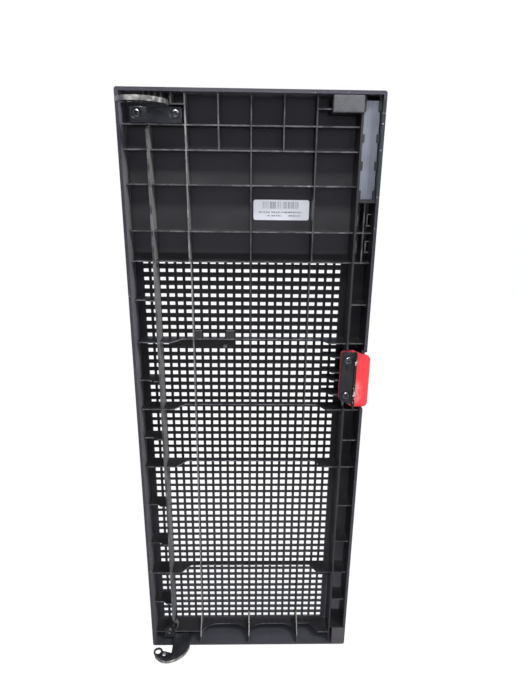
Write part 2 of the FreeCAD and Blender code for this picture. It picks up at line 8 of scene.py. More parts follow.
# %% Load the frame
import math
from types import SimpleNamespace

import bmesh
import bpy
from mathutils import Matrix, Vector, noise as lattice


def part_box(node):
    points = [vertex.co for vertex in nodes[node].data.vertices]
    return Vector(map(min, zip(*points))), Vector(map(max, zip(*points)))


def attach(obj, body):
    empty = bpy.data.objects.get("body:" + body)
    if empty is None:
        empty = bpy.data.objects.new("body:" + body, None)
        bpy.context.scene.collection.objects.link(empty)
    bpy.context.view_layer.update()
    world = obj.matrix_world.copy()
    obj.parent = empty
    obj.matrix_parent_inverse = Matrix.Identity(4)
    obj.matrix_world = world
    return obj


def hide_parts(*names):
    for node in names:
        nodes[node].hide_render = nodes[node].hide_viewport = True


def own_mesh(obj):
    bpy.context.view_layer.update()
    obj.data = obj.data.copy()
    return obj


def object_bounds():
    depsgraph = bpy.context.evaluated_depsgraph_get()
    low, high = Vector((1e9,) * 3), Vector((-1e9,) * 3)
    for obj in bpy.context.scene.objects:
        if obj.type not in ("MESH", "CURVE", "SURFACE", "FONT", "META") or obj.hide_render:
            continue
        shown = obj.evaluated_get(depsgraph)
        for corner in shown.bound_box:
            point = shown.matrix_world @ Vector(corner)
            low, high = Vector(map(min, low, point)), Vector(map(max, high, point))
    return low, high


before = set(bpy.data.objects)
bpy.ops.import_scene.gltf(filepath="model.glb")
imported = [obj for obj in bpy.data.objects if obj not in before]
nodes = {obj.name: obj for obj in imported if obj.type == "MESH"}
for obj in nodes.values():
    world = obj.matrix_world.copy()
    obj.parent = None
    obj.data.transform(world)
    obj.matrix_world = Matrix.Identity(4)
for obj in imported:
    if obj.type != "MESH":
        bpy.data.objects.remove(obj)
cad_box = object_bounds()
scene = bpy.context.scene
mm = 0.001
print("nodes:", ", ".join(sorted(nodes)))

# %% [markdown]
# ## Places to measure from
# Every height on this door is counted from the inner face of its front wall, which is where the grille
# starts. Reading that plane from the frame, and not typing it, keeps the looks on the part if it changes.

# %% Measure the frame
door_low, door_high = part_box("door_panel")
grille_low, grille_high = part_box("vent_grille")
strip_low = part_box("trim_strip")[0]
floor_y = grille_low.y
rim_height = floor_y - door_low.y
print("door", [round(x / mm, 1) for x in door_high - door_low], "rim", round(rim_height / mm, 1))

# %% [markdown]
# ## A few words for node trees
# Shaders and geometry are both drawn as nodes, and a script that adds them one by one soon hides the
# idea. These helpers let a tree be read like a sentence: `place` adds one node and fills its inputs,
# with either plain values or the outputs of other nodes. A mask is a number from 0 to 1 that says how much
# of an effect a spot gets.


# %% Node helpers
def place(tree, kind, inputs=None, **settings):
    """Adds a node, sets its options, and fills its inputs with values or links."""
    made = tree.nodes.new(kind)
    for option, value in settings.items():
        setattr(made, option, value)
    for key, value in (inputs or {}).items():
        if isinstance(value, bpy.types.Node):
            value = value.outputs[0]
        if isinstance(value, bpy.types.NodeSocket):
            tree.links.new(value, made.inputs[key])
        else:
            made.inputs[key].default_value = value
    return made


def calc(tree, operation, *values):
    """One step of arithmetic."""
    return place(tree, "ShaderNodeMath", dict(enumerate(values)), operation=operation).outputs[0]


def both(tree, first, second):
    """Two masks multiplied, which hold only where both do."""
    return calc(tree, "MULTIPLY", first, second)


def rescale(tree, value, start, end, low=0.0, high=1.0):
    """Turns the range from start to end into low to high, and holds it there outside."""
    limits = {"Value": value, "From Min": start, "From Max": end, "To Min": low, "To Max": high}
    return place(tree, "ShaderNodeMapRange", limits).outputs[0]


def between(tree, value, start, end, soft):
    """One inside the range from start to end and zero outside, with soft edges."""
    rise = rescale(tree, value, start - soft, start + soft)
    fall = rescale(tree, value, end - soft, end + soft, 1.0, 0.0)
    return both(tree, rise, fall)


def cloud(tree, vector, scale, detail=3.0):
    """Soft noise between 0 and 1."""
    values = {"Vector": vector, "Scale": scale, "Detail": detail}
    return place(tree, "ShaderNodeTexNoise", values).outputs[0]


def stretched(tree, vector, x, y, z):
    """The same coordinates with each axis scaled, for grain that runs one way."""
    return place(tree, "ShaderNodeMapping", {"Vector": vector, "Scale": (x, y, z)}).outputs[0]


def tint(tree, share, first, second):
    """A mix of two colours."""
    return place(tree, "ShaderNodeMix", {0: share, 6: first, 7: second}, data_type="RGBA").outputs[2]


def grey(value, blue=1.0):
    """A grey with a chosen amount of blue, as a colour with alpha."""
    return (value, value, value * blue, 1.0)


print("node helpers ready")

# %% [markdown]
# ## A material with the usual parts
# Each finish needs the same start: Object coordinates, because every piece keeps its place in its mesh,
# and one Principled shader. Numbers that are the same all over go straight on the shader, and only what
# changes over the surface comes through links.


# %% Material helper
def new_material(name, **fixed):
    """A material with its tree, its Object coordinates and its shader, with these constant inputs."""
    material = bpy.data.materials.new(name)
    material.use_nodes = True
    tree = material.node_tree
    shader = tree.nodes["Principled BSDF"]
    for socket, value in fixed.items():
        shader.inputs[socket.replace("_", " ")].default_value = value
    coords = place(tree, "ShaderNodeTexCoord").outputs["Object"]
    return material, tree, coords, shader


def emboss(tree, shader, height, depth, strength=1.0):
    """Fine relief on a surface, where depth is the height of the bumps."""
    values = {"Height": height, "Distance": depth, "Strength": strength}
    bump = place(tree, "ShaderNodeBump", values)
    tree.links.new(bump.outputs[0], shader.inputs["Normal"])


def dress(piece, material):
    """Gives a piece one material."""
    piece.data.materials.clear()
    piece.data.materials.append(material)


print("material helper ready")

# %% [markdown]
# ## The door's black plastic
# The tray is moulded in black ABS, and a used one is not black all over. Its colour here holds wear and dust,
# and also painted light and painted shade. Painting these by hand would need an image, so facts about the
# surface pick the places out instead: where a spot is, which way it faces, and how high it stands above the
# front wall.

# %% Facts about the surface
rib_floor = 3.0 * mm
rib_ceiling = rim_height - 3.4 * mm
nick_colour = grey(0.5)


def surface_facts(tree, coords):
    """What the masks on the door are made from."""
    at = SimpleNamespace(coords=coords)
    at.axes = place(tree, "ShaderNodeSeparateXYZ", {0: coords}).outputs
    at.height = calc(tree, "SUBTRACT", floor_y, at.axes["Y"])
    normal = place(tree, "ShaderNodeNewGeometry").outputs["Normal"]
    at.facing = place(tree, "ShaderNodeSeparateXYZ", {0: normal}).outputs
    at.rearward = rescale(tree, at.facing["Y"], -0.80, -0.95)
    at.mottle = cloud(tree, coords, 45.0)
    at.nick = rescale(tree, cloud(tree, coords, 520.0, 2.0), 0.70, 0.76)
    return at


print("ribs stand from", round(rib_floor / mm, 1), "to", round(rib_ceiling / mm, 1), "mm")

# %% [markdown]
# ## Wear and painted highlight on the ribs
# The narrow tops of the ribs are painted a lighter grey: partly rubbed by handling, partly a painted
# highlight for the light that catches their crests. Of the uprights in the plain upper part, the one nearest
# the hinge gets the brightest painted crest and the three furthest from it the dimmest. The tabs over the
# strip look rearwards too, at the same height, so they are taken out of the mask by their place.

# %% Rib wear and painted highlight
# Rib tops are painted lighter: partly wear, partly painted highlight on the crests. The upright nearest the
# hinge gets the most and the three furthest from it the least.
flat_black = ((0.0150, 0.0136, 0.0168, 1), (0.0205, 0.0188, 0.0228, 1))
rib_wear_and_highlight = (grey(0.030, 1.1), grey(0.15, 1.06))
heavy_wear_and_highlight = (grey(0.12), grey(0.30))
brightest_upright = door_low.x + 42.0 * mm
dimmest_uprights = [door_low.x + x * mm for x in (84.0, 105.0, 126.0)]
dimmest_share = 0.4
half_upright = 0.9 * mm


def along_upright(tree, at, x):
    """The strip of the door that one upright rib covers."""
    return between(tree, at.axes["X"], x - half_upright, x + half_upright, 0.1 * mm)


def ribs_with_wear_and_highlight(tree, at):
    """Black flats with rib tops painted lighter grey, partly rubbed wear and partly painted highlight."""
    crests = both(tree, at.rearward, between(tree, at.height, rib_floor, rib_ceiling, 0.3 * mm))
    beside = rescale(tree, at.axes["X"], strip_low.x - 2 * mm, strip_low.x - mm)
    tabs = both(tree, beside, rescale(tree, at.axes["Z"], strip_low.z - mm, strip_low.z))
    tops = both(tree, crests, calc(tree, "SUBTRACT", 1.0, tabs))
    for x in dimmest_uprights:
        kept = rescale(tree, along_upright(tree, at, x), 0.0, 1.0, 1.0, dimmest_share)
        tops = both(tree, tops, kept)
    rub_and_highlight = rescale(tree, cloud(tree, at.coords, 160.0, 5.0), 0.38, 0.66)
    light, heavy = tint(tree, rub_and_highlight, *rib_wear_and_highlight), tint(tree, rub_and_highlight, *heavy_wear_and_highlight)
    worn_and_highlit = tint(tree, along_upright(tree, at, brightest_upright), light, heavy)
    flats = tint(tree, at.mottle, *flat_black)
    return tint(tree, tops, flats, tint(tree, at.nick, worn_and_highlit, nick_colour))


print("upright ribs at", [round((x - door_low.x) / mm) for x in (brightest_upright, *dimmest_uprights)], "mm")

# %% [markdown]
# ## Dust and painted light
# Three places are painted paler. Walls that look away from the hinge get a pale film: dust together with a
# painted sheen for how they brighten when light grazes them. The up-facing faces of the bottom wall get
# painted light from above. The flats near the foot are painted lighter as painted light, to lift their shade,
# most of all in the narrow channel along the free edge, which the rim shades.

# %% Dust and painted light
dust_and_sheen_end = door_low.x + 90.0 * mm
dust_and_sheen_fade = 30.0 * mm
outer_wall = door_low.x + 4.0 * mm
hinge_rib = door_low.x + 17.0 * mm
dust_and_sheen_colours = ((0.235, 0.232, 0.245, 1), (0.31, 0.295, 0.28, 1))
painted_top_light = (0.080, 0.083, 0.100, 1)
foot_painted_light = (0.026, 0.026, 0.038, 1)
channel_painted_light = (0.105, 0.107, 0.125, 1)
channel_start = strip_low.x - 2.0 * mm
foot_end = door_low.z + 100.0 * mm
foot_full = door_low.z + 25.0 * mm


def dust_and_painted_light(tree, at, colour):
    """The same colour with dust and painted sheen on the walls, painted light on the bottom, and painted
    light near the foot.
    """
    # Painted sheen with dust: walls that face the free edge, on the hinge side, are painted paler.
    sideways = both(tree, rescale(tree, at.facing["X"], 0.6, 0.9), rescale(tree, at.height, 0.0, mm))
    hinge_side = rescale(tree, at.axes["X"], dust_and_sheen_end - dust_and_sheen_fade, dust_and_sheen_end, 1.0, 0.0)
    dust_and_sheen_share = rescale(tree, at.mottle, 0.3, 0.7, 0.75, 1.0)
    film = tint(tree, rescale(tree, at.axes["X"], outer_wall, hinge_rib), *dust_and_sheen_colours)
    colour = tint(tree, both(tree, both(tree, sideways, hinge_side), dust_and_sheen_share), colour, film)

    # Painted light from above on the up-facing faces of the bottom wall.
    bottom = rescale(tree, at.axes["Z"], door_low.z + 6 * mm, door_low.z + 4 * mm)
    lit_from_above = both(tree, rescale(tree, at.facing["Z"], 0.7, 0.9), bottom)
    lit_from_above_share = rescale(tree, at.mottle, 0.3, 0.7, 0.6, 1.0)
    colour = tint(tree, both(tree, lit_from_above, lit_from_above_share), colour, painted_top_light)

    # Painted light near the foot, strongest in the channel, lifting the shade there.
    foot = rescale(tree, at.axes["Z"], foot_end, foot_full)
    on_flats = both(tree, at.rearward, rescale(tree, at.height, rib_floor, rib_floor - mm))
    in_channel = rescale(tree, at.axes["X"], channel_start - mm, channel_start)
    painted_lift = tint(tree, in_channel, foot_painted_light, channel_painted_light)
    return tint(tree, both(tree, foot, on_flats), colour, painted_lift)


print("dust film ends at", round((dust_and_sheen_end - door_low.x) / mm), "mm from the hinge side")

# %% [markdown]
# ## Rim, grille and gloss
# The narrow rear face of the rim is bare and a little polished. The top wall carries painted light: its rear
# face and its underside are painted lighter than the other walls. The low rear faces of the grille in its
# upper part are painted darker, as painted shade, and are duller there, and inside the openings the colour is
# darkened further as painted shade, since hardly any light arrives. A few small webs near the front wall
# slope up towards the light. Left glossy they would shine like mirrors, so low slopes are dulled.

# %% Door plastic
rim_and_lit_top_colours = ((0.040, 0.038, 0.049, 1), (0.066, 0.063, 0.080, 1))
painted_underside_light = (0.075, 0.072, 0.088, 1)
grille_inside = grey(0.009, 1.1)
grille_shade_black = grey(0.003)
grille_shade_full_above = door_low.z + 185.0 * mm
grille_shade_none_below = door_low.z + 120.0 * mm
grille_shade_share = 0.6
slope_height = 5.5 * mm
usual_gloss, slope_gloss, grille_shade_gloss = 0.5, 0.03, 0.4


def door_plastic():
    material, tree, coords, shader = new_material("door_plastic", IOR=1.5)
    at = surface_facts(tree, coords)
    colour = dust_and_painted_light(tree, at, ribs_with_wear_and_highlight(tree, at))

    # Painted light: the top wall's rear face and its underside are painted lighter than the other walls.
    crown = rescale(tree, at.axes["Z"], door_high.z - 6 * mm, door_high.z - 4 * mm)
    under = both(tree, crown, rescale(tree, at.facing["Z"], -0.7, -0.9))
    colour = tint(tree, under, colour, painted_underside_light)
    edge = both(tree, at.rearward, rescale(tree, at.height, rim_height - 1.5 * mm, rim_height - mm))
    rim = tint(tree, at.nick, tint(tree, crown, *rim_and_lit_top_colours), nick_colour)
    colour = tint(tree, edge, colour, rim)

    # Painted shade: low rear faces in the upper grille are painted darker, and inside the openings darker
    # still.
    below_panel = rescale(tree, at.axes["Z"], grille_high.z + mm, grille_high.z)
    sunken = both(tree, at.rearward, rescale(tree, at.height, rib_floor, rib_floor - 0.3 * mm))
    upper = both(tree, below_panel, rescale(tree, at.axes["Z"], grille_shade_none_below, grille_shade_full_above))
    grille_shade = both(tree, sunken, upper)
    colour = tint(tree, calc(tree, "MULTIPLY", grille_shade, grille_shade_share), colour, grille_shade_black)
    inside = rescale(tree, at.height, -0.3 * mm, -0.7 * mm)
    tree.links.new(tint(tree, inside, colour, grille_inside), shader.inputs["Base Color"])

    low_down = between(tree, at.height, 0.0, slope_height, 0.5 * mm)
    sloping = both(tree, between(tree, at.facing["Z"], 0.4, 0.9, 0.05), low_down)
    dulled = rescale(tree, sloping, 0.0, 1.0, usual_gloss, slope_gloss)
    gloss = both(tree, dulled, rescale(tree, grille_shade, 0.0, 1.0, 1.0, grille_shade_gloss))
    tree.links.new(gloss, shader.inputs["Specular IOR Level"])
    haze = rescale(tree, cloud(tree, coords, 30.0), 0.3, 0.7, 0.36, 0.48)
    polish = rescale(tree, edge, 0.0, 1.0, 1.0, 0.7)
    tree.links.new(calc(tree, "MULTIPLY", haze, polish), shader.inputs["Roughness"])
    emboss(tree, shader, cloud(tree, coords, 2600.0, 2.0), 0.015 * mm, 0.6)
    return material


black_plastic = door_plastic()
dress(nodes["door_panel"], black_plastic)
print("door panel dressed")

# %% [markdown]
# ## Growing meshes with Geometry Nodes
# Openings, slats and screws repeat by a rule, so each is made by a geometry tree with named inputs. A
# tree is run once on an empty holder, its result is taken as a plain mesh, and the holder is removed.
# The alternative, live modifiers on every piece, would not survive an export.


# %% Geometry tree helpers
def geometry_tree(name, sizes=(), counts=(), objects=()):
    """A geometry tree with these inputs, and the sockets they arrive on."""
    tree = bpy.data.node_groups.new(name, "GeometryNodeTree")
    kinds = [("Geometry", "NodeSocketGeometry"), ("Material", "NodeSocketMaterial")]
    kinds += [(label, "NodeSocketFloat") for label in sizes]
    kinds += [(label, "NodeSocketInt") for label in counts]
    kinds += [(label, "NodeSocketObject") for label in objects]
    for label, kind in kinds:
        tree.interface.new_socket(label, in_out="INPUT", socket_type=kind)
    tree.interface.new_socket("Geometry", in_out="OUTPUT", socket_type="NodeSocketGeometry")
    return tree, tree.nodes.new("NodeGroupInput").outputs


def end_tree(tree, geometry, given):
    """Ends a tree with real geometry in one material."""
    real = place(tree, "GeometryNodeRealizeInstances", {0: geometry})
    painted = place(tree, "GeometryNodeSetMaterial", {"Geometry": real, "Material": given["Material"]})
    place(tree, "NodeGroupOutput", {0: painted})


def thicken(tree, outline, depth):
    """Fills a flat outline and gives it a thickness, closed on both sides."""
    face = place(tree, "GeometryNodeFillCurve", {0: outline}, mode="TRIANGLES")
    values = {"Mesh": face, "Offset Scale": depth, "Individual": False}
    raised = place(tree, "GeometryNodeExtrudeMesh", values, mode="FACES")
    joined = place(tree, "GeometryNodeJoinGeometry")
    for part in (raised, place(tree, "GeometryNodeFlipFaces", {0: face})):
        tree.links.new(part.outputs[0], joined.inputs[0])
    return place(tree, "GeometryNodeMergeByDistance", {"Geometry": joined, "Distance": mm / 1000})


def grow(tree, points=(), **values):
    """Runs a tree on a holder with these points and inputs, and hands back a plain mesh."""
    start = bpy.data.meshes.new("holder")
    start.from_pydata([tuple(p) for p in points], [], [])
    holder = bpy.data.objects.new("holder", start)
    scene.collection.objects.link(holder)
    modifier = holder.modifiers.new("grow", "NODES")
    modifier.node_group = tree
    for item in tree.interface.items_tree:
        label = item.name.replace(" ", "_")
        if item.in_out == "INPUT" and label in values:
            modifier[item.identifier] = values[label]
    grown = holder.evaluated_get(bpy.context.evaluated_depsgraph_get())
    mesh = bpy.data.meshes.new_from_object(grown)
    holder.modifiers.remove(modifier)
    bpy.data.objects.remove(holder)
    return mesh


print("geometry helpers ready")

# %% [markdown]
# ## From meshes to pieces
# A finished piece sits at the origin with its place in its mesh, rides on a body of the frame, and hides the
# CAD nodes it stands for. Meshes joined from several closed ones have their faces turned outwards, and the
# shading of each piece is smooth except across real corners.


# %% Piece helpers
def joined_mesh(name, meshes):
    """One mesh from several closed ones, with the faces of each turned outwards."""
    shape = bmesh.new()
    for mesh in meshes:
        shape.from_mesh(mesh)
    bmesh.ops.recalc_face_normals(shape, faces=shape.faces)
    return bare_mesh(name, shape)


def bare_mesh(name, shape):
    """A mesh with only the points and faces of a bmesh, which is freed."""
    shape.verts.index_update()
    points = [v.co[:] for v in shape.verts]
    faces = [[v.index for v in f.verts] for f in shape.faces]
    shape.free()
    mesh = bpy.data.meshes.new(name)
    mesh.from_pydata(points, [], faces)
    return mesh


def add_piece(mesh, material, body, slot, *stands_for, smooth=35.0):
    """Puts a mesh in the scene as a piece that rides on a body and stands for CAD nodes."""
    piece = bpy.data.objects.new(mesh.name, mesh)
    scene.collection.objects.link(piece)
    dress(piece, material)
    mesh.shade_smooth()
    mesh.set_sharp_from_angle(angle=math.radians(smooth))
    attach(piece, body)
    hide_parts(*stands_for)
    print(piece.name, len(mesh.polygons), "faces")
    return piece


print("piece helpers ready")

# %% [markdown]
# ## The grille: slanted bars
# The grille has 1,296 small openings, but it is simpler than that: thin uprights lie on the rear side, and
# behind them slats lean down towards the front, so that dust does not fall straight in. Cutting so many
# holes with booleans would be slow and leave a poor mesh. One tree makes all the bars instead: a trapezium
# with eased corners, drawn out to a length and repeated at a pitch.

# %% Slanted bar tree
bar_sizes = ("Rear", "Front", "Shift", "Depth", "Length", "Corner", "Pitch")
bar_tree, given = geometry_tree("slanted bars", bar_sizes, ("Count",))
trapezium = {
    "Bottom Width": given["Rear"],
    "Top Width": given["Front"],
    "Height": given["Depth"],
    "Offset": given["Shift"],
}
section = place(bar_tree, "GeometryNodeCurvePrimitiveQuadrilateral", trapezium, mode="TRAPEZOID")
easing = {"Curve": section, "Radius": given["Corner"], "Count": 1}
eased = place(bar_tree, "GeometryNodeFilletCurve", easing, mode="POLY")
bar = thicken(bar_tree, eased, given["Length"])
stride = place(bar_tree, "ShaderNodeCombineXYZ", {"X": given["Pitch"]})
stack = place(bar_tree, "GeometryNodeMeshLine", {"Count": given["Count"], "Offset": stride}, mode="OFFSET")
row_of_bars = place(bar_tree, "GeometryNodeInstanceOnPoints", {"Points": stack, "Instance": bar})
end_tree(bar_tree, row_of_bars, given)
print("slanted bar tree:", len(bar_tree.nodes), "nodes")

# %% [markdown]
# ## Assembling the grille
# The sections of the slats lie in the plane of depth and height, and those of the uprights in the plane of
# depth and width, so each kind is turned its own way. The slats are sunk by a hair, because two faces in
# exactly the same place shade each other black. The bars along the edges are wider at one end, where the
# last row of openings slants away from them or towards them.

# %% Vent grille
columns = 24
rows = 54
border = 2.4 * mm
bar_width = 2.05 * mm
slat_width = 2.4 * mm
upright_depth = 0.8 * mm
slat_drop = 2.05 * mm
slat_sink = 0.05 * mm
edge_ease = 0.12 * mm
grille_size = grille_high - grille_low
grille_mid = (grille_low + grille_high) / 2
pitch = (grille_size.x - 2 * border) / columns
row_pitch = (grille_size.z - 2 * border) / rows
side_width = border + bar_width / 2
end_width = border + slat_width / 2
slat_length = grille_size.x - 2 * side_width


def grille_bars(turn, rear, front, shift, depth, length, step=1.0, count=1):
    """Bars with this section and length, put in their place."""
    mesh = grow(
        bar_tree,
        Material=black_plastic,
        Rear=rear,
        Front=front,
        Shift=shift,
        Depth=depth,
        Length=length,
        Corner=edge_ease,
        Pitch=step,
        Count=count,
    )
    mesh.transform(turn)
    return mesh


def lying(y, z):
    """Turns a section so that its bar lies across the grille, with its rear edge centred on z."""
    return Matrix(((0, 0, -1, grille_mid.x + slat_length / 2), (0, 1, 0, y), (1, 0, 0, z), (0, 0, 0, 1)))


def standing(x, y, above=0.0):
    """Puts a section so that its bar stands upright, this far above the bottom edge of the grille."""
    return Matrix.Translation((x, y, grille_low.z + above))


print("pitch", round(pitch / mm, 3), "row pitch", round(row_pitch / mm, 3))

# %% Grille bars
depth = grille_size.y
slat_depth = depth - slat_sink
upright_length = grille_size.z - 2 * end_width
slat_turn = lying(grille_mid.y + slat_sink / 2, grille_low.z + border + row_pitch)
upright_turn = standing(grille_low.x + border + pitch, grille_low.y + upright_depth / 2, end_width)
bars = [
    grille_bars(slat_turn, slat_width, slat_width, -slat_drop, slat_depth, slat_length, row_pitch, rows - 1),
    grille_bars(upright_turn, bar_width, bar_width, 0.0, upright_depth, upright_length, pitch, columns - 1),
]
for z, widening in ((grille_low.z + end_width / 2, -slat_drop), (grille_high.z - end_width / 2, slat_drop)):
    turn = lying(grille_mid.y, z)
    bars.append(grille_bars(turn, end_width, end_width + widening, -slat_drop / 2, depth, slat_length))
for x in (grille_low.x + side_width / 2, grille_high.x - side_width / 2):
    bars.append(grille_bars(standing(x, grille_mid.y), side_width, side_width, 0.0, depth, grille_size.z))
grille_mesh = joined_mesh("louvred_grille", bars)
add_piece(grille_mesh, black_plastic, "door", "door_plastic", "vent_grille")

# %% [markdown]
# ## Softening moulded edges
# No moulded or pressed edge is perfectly sharp, and the thin highlight along it is what makes a part look
# real. Small pieces are copied from the frame, their triangles are merged into faces, and a narrow bevel
# runs along every true corner. The bevel is far smaller than any wall, so the sizes stay as drawn.


# %% Softened copies
def softened(node, name, radius):
    """A copy of a CAD node's mesh with its sharp edges eased by this radius."""
    shape = bmesh.new()
    shape.from_mesh(nodes[node].data)
    bmesh.ops.remove_doubles(shape, verts=shape.verts, dist=mm / 1000)
    flat = math.radians(1.0)
    bmesh.ops.dissolve_limit(shape, angle_limit=flat, verts=shape.verts, edges=shape.edges)
    corner = math.radians(40.0)
    sharp = [e for e in shape.edges if e.is_manifold and e.calc_face_angle() > corner]
    bmesh.ops.bevel(
        shape, geom=sharp, offset=radius, segments=2, profile=0.5, affect="EDGES", clamp_overlap=True
    )
    return bare_mesh(name, shape)


print("edge softening ready")

# %% [markdown]
# ## Hinge hooks
# The two hooks are pressed parts with a plate that lies in the tray. The part that sticks out is glossier
# than the plate, and its narrow outer edge is painted pale, most of all at the tip: partly paint chafed off
# by years of turning on the pin, partly a painted highlight for the glints that edge catches. The edge is
# found by its normal: it is the only face outside the tray that looks neither up nor down.

# %% Hinge arms
plate_black = (0.014, 0.0145, 0.017, 1)
outer_black = (0.030, 0.030, 0.038, 1)
mottled_black = (0.026, 0.027, 0.032, 1)
bare_metal_and_highlight = (0.46, 0.45, 0.41, 1)
plate_dullness = 0.08


def hinge_black():
    material, tree, coords, shader = new_material("hinge_black", IOR=1.5)
    axes = place(tree, "ShaderNodeSeparateXYZ", {0: coords}).outputs
    outside = rescale(tree, axes["Y"], door_low.y + 3 * mm, door_low.y - 3 * mm)
    mottle = cloud(tree, coords, 120.0)
    normal = place(tree, "ShaderNodeNewGeometry").outputs["Normal"]
    upward = place(tree, "ShaderNodeSeparateXYZ", {0: normal}).outputs["Z"]
    # Painted highlight with chafe: the outer edge outside the tray is painted pale, most at the tip.
    rim = between(tree, upward, -0.6, 0.6, 0.2)
    tip = rescale(tree, axes["Y"], door_low.y - 9 * mm, door_low.y - 16 * mm, 0.55, 1.0)
    chafe_and_glint = rescale(tree, cloud(tree, coords, 210.0, 3.0), 0.46, 0.64, 0.25, 1.0)
    worn_and_highlit = both(tree, both(tree, rim, outside), both(tree, tip, chafe_and_glint))
    base = tint(tree, mottle, tint(tree, outside, plate_black, outer_black), mottled_black)
    tree.links.new(tint(tree, worn_and_highlit, base, bare_metal_and_highlight), shader.inputs["Base Color"])
    scratches = cloud(tree, stretched(tree, coords, 300.0, 300.0, 2500.0), 1.0)
    rough = rescale(tree, scratches, 0.3, 0.7, 0.14, 0.26)
    duller = rescale(tree, outside, 0.0, 1.0, plate_dullness, 0.0)
    tree.links.new(calc(tree, "ADD", rough, duller), shader.inputs["Roughness"])
    emboss(tree, shader, scratches, 0.01 * mm, 0.5)
    return material


hook_black = hinge_black()
for node in ("upper_hinge_arm", "lower_hinge_arm"):
    mesh = softened(node, node.replace("arm", "hook"), 0.3 * mm)
    add_piece(mesh, hook_black, "door", "hinge_black", node)

# %% [markdown]
# ## The red push latch
# The latch is a bright red plate. Its tab sticks out past the edge of the door, and a thumb has scuffed the
# plastic pale near the lower corner of the black cover. The scuff is noise inside a soft oval that is placed
# from the slider's own box, so it stays on the tab. Under the edge of the cover, the red is painted darker as
# painted shade.

# %% Latch slider
slider_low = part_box("latch_slider")[0]
retainer_low, retainer_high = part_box("latch_retainer")
clean_reds = ((0.86, 0.040, 0.048, 1), (0.94, 0.056, 0.064, 1))
shaded_red = (0.30, 0.020, 0.026, 1)
scuffed_red = (0.88, 0.33, 0.32, 1)
scuff_x = retainer_high.x + 1.6 * mm
scuff_z = slider_low.z + 12.0 * mm
scuff_half_width = 5.5 * mm
scuff_half_height = 11.0 * mm


def latch_red():
    material, tree, coords, shader = new_material("latch_red", IOR=1.49)
    axes = place(tree, "ShaderNodeSeparateXYZ", {0: coords}).outputs
    across = calc(tree, "DIVIDE", calc(tree, "SUBTRACT", axes["X"], scuff_x), scuff_half_width)
    along = calc(tree, "DIVIDE", calc(tree, "SUBTRACT", axes["Z"], scuff_z), scuff_half_height)
    squares = [both(tree, side, side) for side in (across, along)]
    oval = rescale(tree, calc(tree, "ADD", *squares), 0.0, 1.0, 1.0, 0.0)
    streaks = cloud(tree, stretched(tree, coords, 900.0, 900.0, 300.0), 1.0, 4.0)
    scuff = both(tree, oval, rescale(tree, streaks, 0.30, 0.70))
    bright = tint(tree, cloud(tree, coords, 80.0), *clean_reds)
    # Painted shade: the red under the edge of the cover is painted darker.
    cover_shade = rescale(tree, axes["X"], retainer_high.x - 1.5 * mm, retainer_high.x - 4.0 * mm)
    red = tint(tree, cover_shade, bright, shaded_red)
    tree.links.new(tint(tree, scuff, red, scuffed_red), shader.inputs["Base Color"])
    tree.links.new(rescale(tree, scuff, 0.0, 1.0, 0.42, 0.65), shader.inputs["Roughness"])
    emboss(tree, shader, cloud(tree, coords, 1800.0), 0.012 * mm, 0.5)
    return material


slider_mesh = softened("latch_slider", "latch_push_plate", 0.35 * mm)
add_piece(slider_mesh, latch_red(), "latch", "latch_red", "latch_slider")

# %% [markdown]
# ## The latch cover
# A small black cover holds the slider down. It is the same plastic as the door but smoother, and the lip
# along its outer side is nicked where the latch has been caught by a tool.

# %% Latch retainer
cover_blacks = ((0.012, 0.0118, 0.014, 1), (0.019, 0.0186, 0.021, 1))
more_nicks = 0.13


def cover_plastic():
    material, tree, coords, shader = new_material("cover_plastic", IOR=1.4)
    axes = place(tree, "ShaderNodeSeparateXYZ", {0: coords}).outputs
    lip = rescale(tree, axes["Y"], retainer_low.y + 1.2 * mm, retainer_low.y)
    mottle = cloud(tree, coords, 110.0)
    colour = tint(tree, mottle, *cover_blacks)
    caught = between(tree, axes["Z"], scuff_z - 4 * mm, scuff_z + 3 * mm, 3 * mm)
    chance = calc(tree, "ADD", cloud(tree, coords, 420.0), calc(tree, "MULTIPLY", caught, more_nicks))
    chipped = both(tree, lip, rescale(tree, chance, 0.60, 0.66))
    tree.links.new(tint(tree, chipped, colour, nick_colour), shader.inputs["Base Color"])
    tree.links.new(rescale(tree, mottle, 0.3, 0.7, 0.20, 0.30), shader.inputs["Roughness"])
    emboss(tree, shader, cloud(tree, coords, 2400.0), 0.012 * mm, 0.5)
    return material


cover_mesh = softened("latch_retainer", "latch_cover", 0.3 * mm)
add_piece(cover_mesh, cover_plastic(), "door", "door_plastic", "latch_retainer")

# %% [markdown]
# ## The return spring
# Under the cover a bowed steel strip pushes the latch out again. It flattens as the latch is pressed; here a
# softened copy of the drawn strip stands for it in its drawn shape, with a mesh of its own.


# %% Latch spring
def spring_steel():
    material, tree, coords, shader = new_material("spring_steel", Metallic=1.0)
    streak = cloud(tree, stretched(tree, coords, 900.0, 60.0, 60.0), 1.0)
    steel = tint(tree, streak, (0.30, 0.31, 0.34, 1), (0.46, 0.47, 0.50, 1))
    tree.links.new(steel, shader.inputs["Base Color"])
    tree.links.new(rescale(tree, streak, 0.3, 0.7, 0.22, 0.40), shader.inputs["Roughness"])
    return material


spring_mesh = softened("latch_spring", "return_spring", 0.08 * mm)
spring = add_piece(spring_mesh, spring_steel(), "door", "spring_steel", "latch_spring")
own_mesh(spring)

# %% [markdown]
# ## Screws
# Five black pan-head screws hold the hinges and the latch. A head is a turned shape, so its profile is
# spun round its axis, and the cross recess is cut with one boolean. Each screw is then instanced on its
# seat with a turn of its own, because no two screws stop at the same angle.


